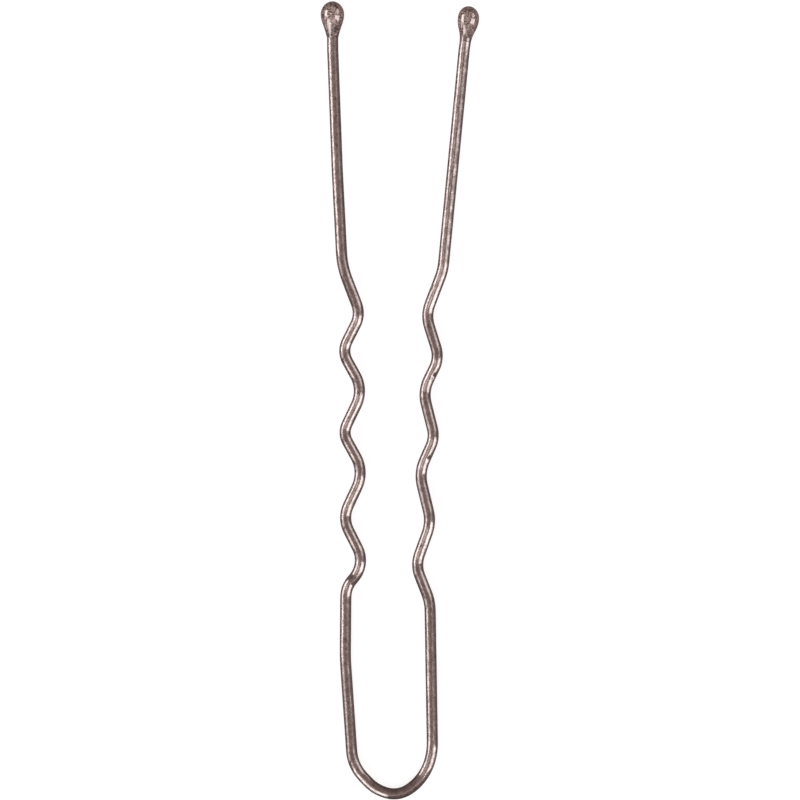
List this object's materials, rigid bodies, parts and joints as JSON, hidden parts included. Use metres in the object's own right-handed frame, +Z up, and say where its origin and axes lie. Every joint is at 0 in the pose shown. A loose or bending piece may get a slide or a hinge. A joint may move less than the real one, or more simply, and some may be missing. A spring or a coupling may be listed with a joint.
{
  "type": "waved hair pin",
  "caption": "U-shaped hair pin of round wire with waved middles, splayed upper legs and resin drops on its tips, pushed into coiled hair to hold it.",
  "frame": {"origin": "on the table that the pin lies on, under the middle of the pin's box", "axes": "+Y from the bend to the tips, +X across the legs, +Z up from the table; the pin rests on its drops and on the bend, so the wire's plane leans by about half a degree"},
  "size_m": [0.013, 0.065, 0.0019],
  "materials": {
    "lacquered_wire": "brown bronze lacquer with a fine metallic glitter, glossy, over drawn steel",
    "resin": "clear brown dipped resin, glossy, with an uneven skin"
  },
  "bodies": {
    "root": {"wire": "lacquered_wire", "tip_left": "resin", "tip_right": "resin"}
  },
  "joints": []
}
